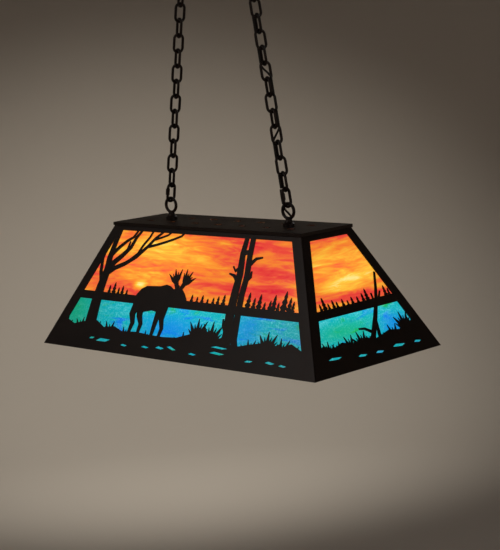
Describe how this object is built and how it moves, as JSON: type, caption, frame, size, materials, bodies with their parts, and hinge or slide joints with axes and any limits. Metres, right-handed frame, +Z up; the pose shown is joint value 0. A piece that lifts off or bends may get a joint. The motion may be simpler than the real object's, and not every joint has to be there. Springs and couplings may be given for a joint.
{
  "type": "pool table lamp",
  "caption": "Long pyramid steel shade with pierced lakeside panels over coloured art glass, hung by two chains from an oblong ceiling canopy.",
  "frame": {"origin": "on the ceiling, at the middle of the mounting strap's top face, above the middle of the shade", "axes": "+Z up, +X along the shade's length, -Y towards the front panel"},
  "size_m": [0.66, 0.332, 0.7157],
  "materials": {
    "dark_steel": "satin dark bronze powder coat",
    "zinc_steel": "zinc plated",
    "sky_glass": "streaky opalescent art glass, yellow to coral",
    "water_glass": "rippled opalescent art glass, turquoise to blue",
    "bulb_glass": "frosted",
    "socket_shell": "moulded",
    "cord_jacket": "matte",
    "wire_nut": "moulded",
    "ground_green": "green plated"
  },
  "bodies": {
    "canopy": {"canopy": "dark_steel", "mounting_strap": "zinc_steel", "canopy_studs": "zinc_steel", "cap_nuts": "dark_steel", "ground_screw": "ground_green", "canopy_wire_nuts": "wire_nut", "upper_loop_left": "dark_steel", "upper_loop_right": "dark_steel", "upper_loop_nuts": "zinc_steel", "cord_bushing": "cord_jacket", "cord_canopy": "cord_jacket"},
    "upper_links": {"upper_link_left": "dark_steel", "upper_link_right": "dark_steel", "cord_upper_link": "cord_jacket"},
    "left_chain": {"chain_links_left": "dark_steel"},
    "right_chain": {"chain_links_right": "dark_steel", "cord_chain": "cord_jacket"},
    "left_quick_link": {"quick_link_left": "dark_steel"},
    "right_quick_link": {"quick_link_right": "dark_steel", "cord_quick_link": "cord_jacket"},
    "left_sleeve": {"quick_link_sleeve_left": "dark_steel"},
    "right_sleeve": {"quick_link_sleeve_right": "dark_steel"},
    "shade": {"lower_loop_left": "dark_steel", "lower_loop_right": "dark_steel", "lower_loop_nuts": "zinc_steel", "lower_loop_washers": "zinc_steel", "top_plate": "dark_steel", "plate_brackets": "zinc_steel", "plate_nuts": "zinc_steel", "front_panel": "dark_steel", "back_panel": "dark_steel", "right_panel": "dark_steel", "left_panel": "dark_steel", "front_sky_glass": "sky_glass", "front_water_glass": "water_glass", "back_sky_glass": "sky_glass", "back_water_glass": "water_glass", "right_sky_glass": "sky_glass", "right_water_glass": "water_glass", "left_sky_glass": "sky_glass", "left_water_glass": "water_glass", "corner_angles": "dark_steel", "corner_nuts": "zinc_steel", "glass_clips": "zinc_steel", "clip_nuts": "zinc_steel", "socket_bar": "zinc_steel", "bar_hangers": "zinc_steel", "hanger_nuts": "zinc_steel", "socket_left": "socket_shell", "socket_middle": "socket_shell", "socket_right": "socket_shell", "socket_nuts": "zinc_steel", "bulb_left": "bulb_glass", "bulb_middle": "bulb_glass", "bulb_right": "bulb_glass", "inner_wires": "cord_jacket", "shade_wire_nuts": "wire_nut", "cord_shade": "cord_jacket"}
  },
  "joints": [
    {"name": "swing_across", "type": "hinge", "parent": "canopy", "child": "upper_links", "pos_m": [0, 0, -0.06395], "axis": [1, 0, 0], "range_deg": [-15, 15]},
    {"name": "swing_along", "type": "hinge", "parent": "upper_links", "child": "left_chain", "pos_m": [-0.08506, 0, -0.09022], "axis": [0, 1, 0], "range_deg": [-8, 8]},
    {"name": "right_chain_swing", "type": "hinge", "parent": "upper_links", "child": "right_chain", "pos_m": [0.08506, 0, -0.09022], "axis": [0, 1, 0], "range_deg": [-8.1, 8.1]},
    {"name": "left_link_swing", "type": "hinge", "parent": "left_chain", "child": "left_quick_link", "pos_m": [-0.13796, 0, -0.43195], "axis": [0, 1, 0], "range_deg": [-5.3, 5.3]},
    {"name": "right_link_swing", "type": "hinge", "parent": "right_chain", "child": "right_quick_link", "pos_m": [0.13796, 0, -0.43195], "axis": [0, 1, 0], "range_deg": [-5.3, 5.3]},
    {"name": "shade_tilt", "type": "hinge", "parent": "left_quick_link", "child": "shade", "pos_m": [-0.1425, 0, -0.45835], "axis": [1, 0, 0], "range_deg": [-15, 15]},
    {"name": "left_sleeve_travel", "type": "slide", "parent": "left_quick_link", "child": "left_sleeve", "axis": [-0.153, 0, -0.9882], "range_m": [0, 0.004]},
    {"name": "right_sleeve_travel", "type": "slide", "parent": "right_quick_link", "child": "right_sleeve", "axis": [0.153, 0, -0.9882], "range_m": [0, 0.004]}
  ],
  "couplings": [
    {"joint": "right_chain_swing", "follows": "swing_along", "ratio": 1},
    {"joint": "left_link_swing", "follows": "swing_along", "ratio": -0.6165},
    {"joint": "right_link_swing", "follows": "swing_along", "ratio": -0.6165}
  ]
}
